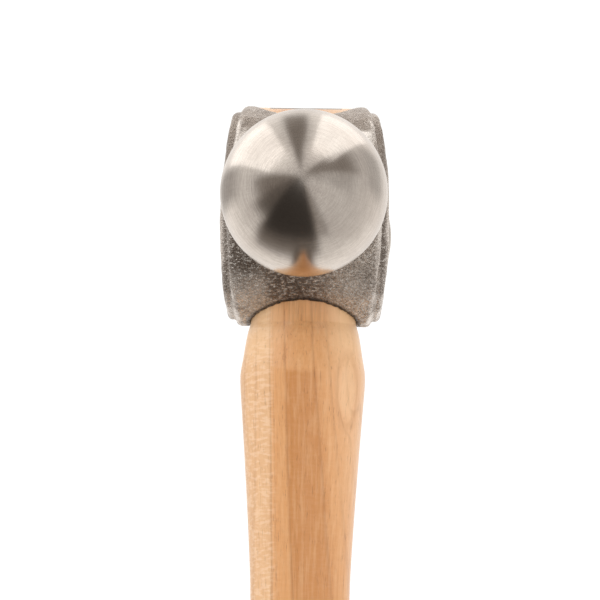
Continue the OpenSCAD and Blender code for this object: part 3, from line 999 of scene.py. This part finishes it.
def fill_light(name, place, aim, size, glow, spread):
    """A square soft box that brightens the object but shows in no reflection."""
    light = area_light(name, size, size, glow)
    light.data.spread = math.radians(spread)
    out = Vector(place) - Vector(aim)
    light.matrix_world = Matrix.Translation(place) @ out.to_track_quat("Z", "Y").to_matrix().to_4x4()
    light.visible_glossy = False


def make_lights():
    for name, strip in STRIPS.items():
        strip_light(name, *strip)
    for name, fill in FILLS.items():
        fill_light(name, *fill)


def make_floor():
    bm = bmesh.new()
    bmesh.ops.create_grid(bm, x_segments=8, y_segments=8, size=6)
    mesh = bpy.data.meshes.new("floor")
    bm.to_mesh(mesh)
    bm.free()
    floor = link(bpy.data.objects.new("floor", mesh))
    mat, tree, shader, _ = material("floor_white")
    wire(tree, shader, Base_Color=grey(0.86), Roughness=0.9)
    mesh.materials.append(mat)
    floor.visible_glossy = False


# Studio round the head, in degrees. Each zone turns about an axis, given as yaw and rise: 0 is the
# head's own, 1 leans up and to the left. Azimuth runs round the axis from +X, angle from its front end.
# The count of azimuths breaks opposite WRAP, where no zone has an edge.
AXES = ((0, 0), (-4, 16))
WRAP = 140
ROOM = 0.72
ROOM_TINT = (1.0, 0.965, 0.935, 1)
ROOM_DARK = (1.0, 0.86, 0.76, 1)
BACKDROP = 1.1
ZONES = (
    # axis; azimuth low, high, soft; angle low, high, soft; brightness
    (0, -360, 360, 1, 78, 250, 40, 0.82),
    (0, -360, 360, 1, 116, 250, 50, 1.15),
    (1, 46, 82, 8, 24, 56, 24, 0.95),
    (1, 112, 162, 8, 20, 56, 24, 0.95),
    (1, 10, 48, 12, 96, 132, 20, 0.58),
    (0, 88, 106, 7, 66, 128, 24, 0.30),
    (1, 89, 106, 7, 14, 84, 20, 0.22),
    (1, -8, 41, 24, -10, 76, 30, 0.50),
    (1, 16, 43, 8, -30, 80, 30, 0.25),
    (1, 280, 302, 8, 10, 92, 16, 0.40),
    (1, 172, 288, 14, -30, 66, 20, 0.24),
    (1, 200, 288, 16, -30, 76, 16, 0.13),
    (1, 218, 287, 12, 80, 120, 28, 0.20),
    (1, 222, 287, 8, -30, 92, 18, 0.045),
    (0, 260, 279, 6, 92, 175, 14, 0.14),
    (0, 156, 184, 14, 104, 156, 26, 0.48),
)


def studio_angles(tree, yaw, rise):
    """Each ray's azimuth round an axis, counted from WRAP, and its angle off that axis, in degrees."""
    seen = node(tree, "TexCoord").outputs["Generated"]
    way = node(tree, "VectorMath", {0: seen}, operation="NORMALIZE").outputs[0]

    def along(direction):
        return node(tree, "VectorMath", {0: way, 1: direction}, operation="DOT_PRODUCT").outputs["Value"]

    yaw, rise, start = math.radians(yaw), math.radians(rise), math.radians(WRAP)
    axis = Vector((math.sin(yaw) * math.cos(rise), -math.cos(yaw) * math.cos(rise), math.sin(rise)))
    right = Vector((math.cos(yaw), math.sin(yaw), 0))
    up = axis.cross(right)
    first = right * math.cos(start) + up * math.sin(start)
    second = up * math.cos(start) - right * math.sin(start)
    azimuth = calc(tree, "ARCTAN2", along(second), along(first))
    off = calc(tree, "ARCCOSINE", along(axis))
    return calc(tree, "DEGREES", azimuth), calc(tree, "DEGREES", off)


def between(tree, value, low, high, soft):
    """1 from low to high and 0 outside, with soft ends."""
    rise = step(tree, value, low - soft / 2, low + soft / 2)
    return times(tree, rise, step(tree, value, high + soft / 2, high - soft / 2))


def make_world():
    world = bpy.data.worlds.new("studio")
    bpy.context.scene.world = world
    world.use_nodes = True
    tree = world.node_tree
    tree.nodes.clear()
    angles = [studio_angles(tree, *axis) for axis in AXES]
    glow = ROOM
    for axis, a0, a1, a_soft, t0, t1, t_soft, level in ZONES:
        azimuth, off = angles[axis]
        share = between(tree, azimuth, a0 - WRAP, a1 - WRAP, a_soft)
        share = times(tree, share, between(tree, off, t0, t1, t_soft))
        glow = add(tree, glow, times(tree, share, minus(tree, level, glow)))
    tint = blend(tree, step(tree, glow, 0.1, 0.6), ROOM_DARK, ROOM_TINT)
    room = node(tree, "VectorMath", {0: tint, "Scale": glow}, operation="SCALE").outputs[0]
    straight = node(tree, "LightPath").outputs["Is Camera Ray"]
    back = node(tree, "Background", {"Color": blend(tree, straight, room, grey(BACKDROP)), "Strength": 1.0})
    node(tree, "OutputWorld", {"Surface": back.outputs[0]})


def set_view():
    view = bpy.context.scene.view_settings
    view.view_transform = "Standard"
    view.look = "None"
    view.exposure = 0
    view.gamma = 1


build_hammer()
make_camera()
make_floor()
make_world()
make_lights()
set_view()
